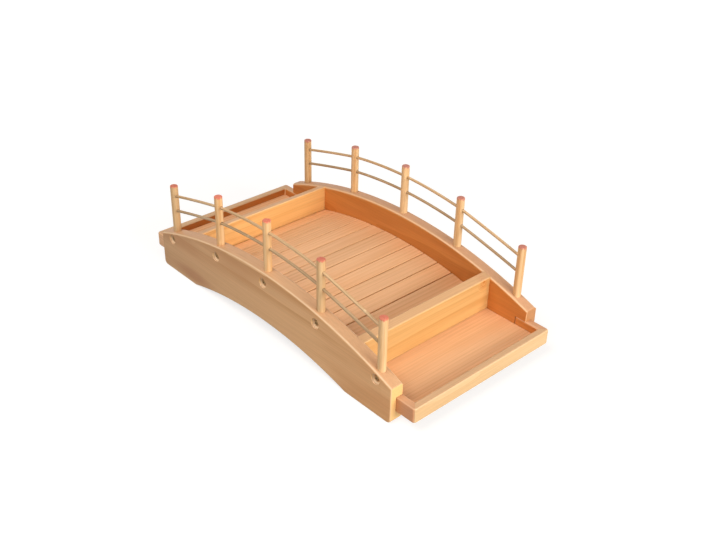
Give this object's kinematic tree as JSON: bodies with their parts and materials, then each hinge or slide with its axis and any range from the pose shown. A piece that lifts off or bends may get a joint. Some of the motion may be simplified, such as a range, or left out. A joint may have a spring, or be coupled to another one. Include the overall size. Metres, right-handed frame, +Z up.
{
  "type": "sushi bridge",
  "caption": "Arched wooden serving bridge with a curved slatted deck, a shallow tray past each end, dividers and a low railing of round posts and bent rods.",
  "frame": {"origin": "on the table, under the middle of the bridge", "axes": "+X along the bridge, +Y across it from the front panel to the back panel, +Z up"},
  "size_m": [0.49, 0.238, 0.1535],
  "materials": {
    "panel_pine": "planed pine board, sanded and oiled",
    "board_pine": "thin pine board, sanded and oiled",
    "post_birch": "turned birch dowel, tip dipped in rose stain",
    "rail_bamboo": "thin bamboo rod, bent",
    "screw_steel": "bronzed steel pan head"
  },
  "bodies": {
    "root": {"front_side_panel": "panel_pine", "front_deck_ledge": "board_pine", "front_post_1": "post_birch", "front_post_2": "post_birch", "front_post_3": "post_birch", "front_post_4": "post_birch", "front_post_5": "post_birch", "front_post_screw_1": "screw_steel", "front_post_screw_2": "screw_steel", "front_post_screw_3": "screw_steel", "front_post_screw_4": "screw_steel", "front_post_screw_5": "screw_steel", "front_upper_rail": "rail_bamboo", "front_lower_rail": "rail_bamboo", "back_side_panel": "panel_pine", "back_deck_ledge": "board_pine", "back_post_1": "post_birch", "back_post_2": "post_birch", "back_post_3": "post_birch", "back_post_4": "post_birch", "back_post_5": "post_birch", "back_post_screw_1": "screw_steel", "back_post_screw_2": "screw_steel", "back_post_screw_3": "screw_steel", "back_post_screw_4": "screw_steel", "back_post_screw_5": "screw_steel", "back_upper_rail": "rail_bamboo", "back_lower_rail": "rail_bamboo", "left_divider": "board_pine", "left_end_rail": "board_pine", "left_tray_floor": "board_pine", "left_front_tray_cheek": "board_pine", "left_back_tray_cheek": "board_pine", "right_divider": "board_pine", "right_end_rail": "board_pine", "right_tray_floor": "board_pine", "right_front_tray_cheek": "board_pine", "right_back_tray_cheek": "board_pine", "deck_slat_01": "board_pine", "deck_slat_02": "board_pine", "deck_slat_03": "board_pine", "deck_slat_04": "board_pine", "deck_slat_05": "board_pine", "deck_slat_06": "board_pine", "deck_slat_07": "board_pine", "deck_slat_08": "board_pine", "deck_slat_09": "board_pine", "deck_slat_10": "board_pine", "deck_slat_11": "board_pine", "deck_slat_12": "board_pine"}
  },
  "joints": []
}
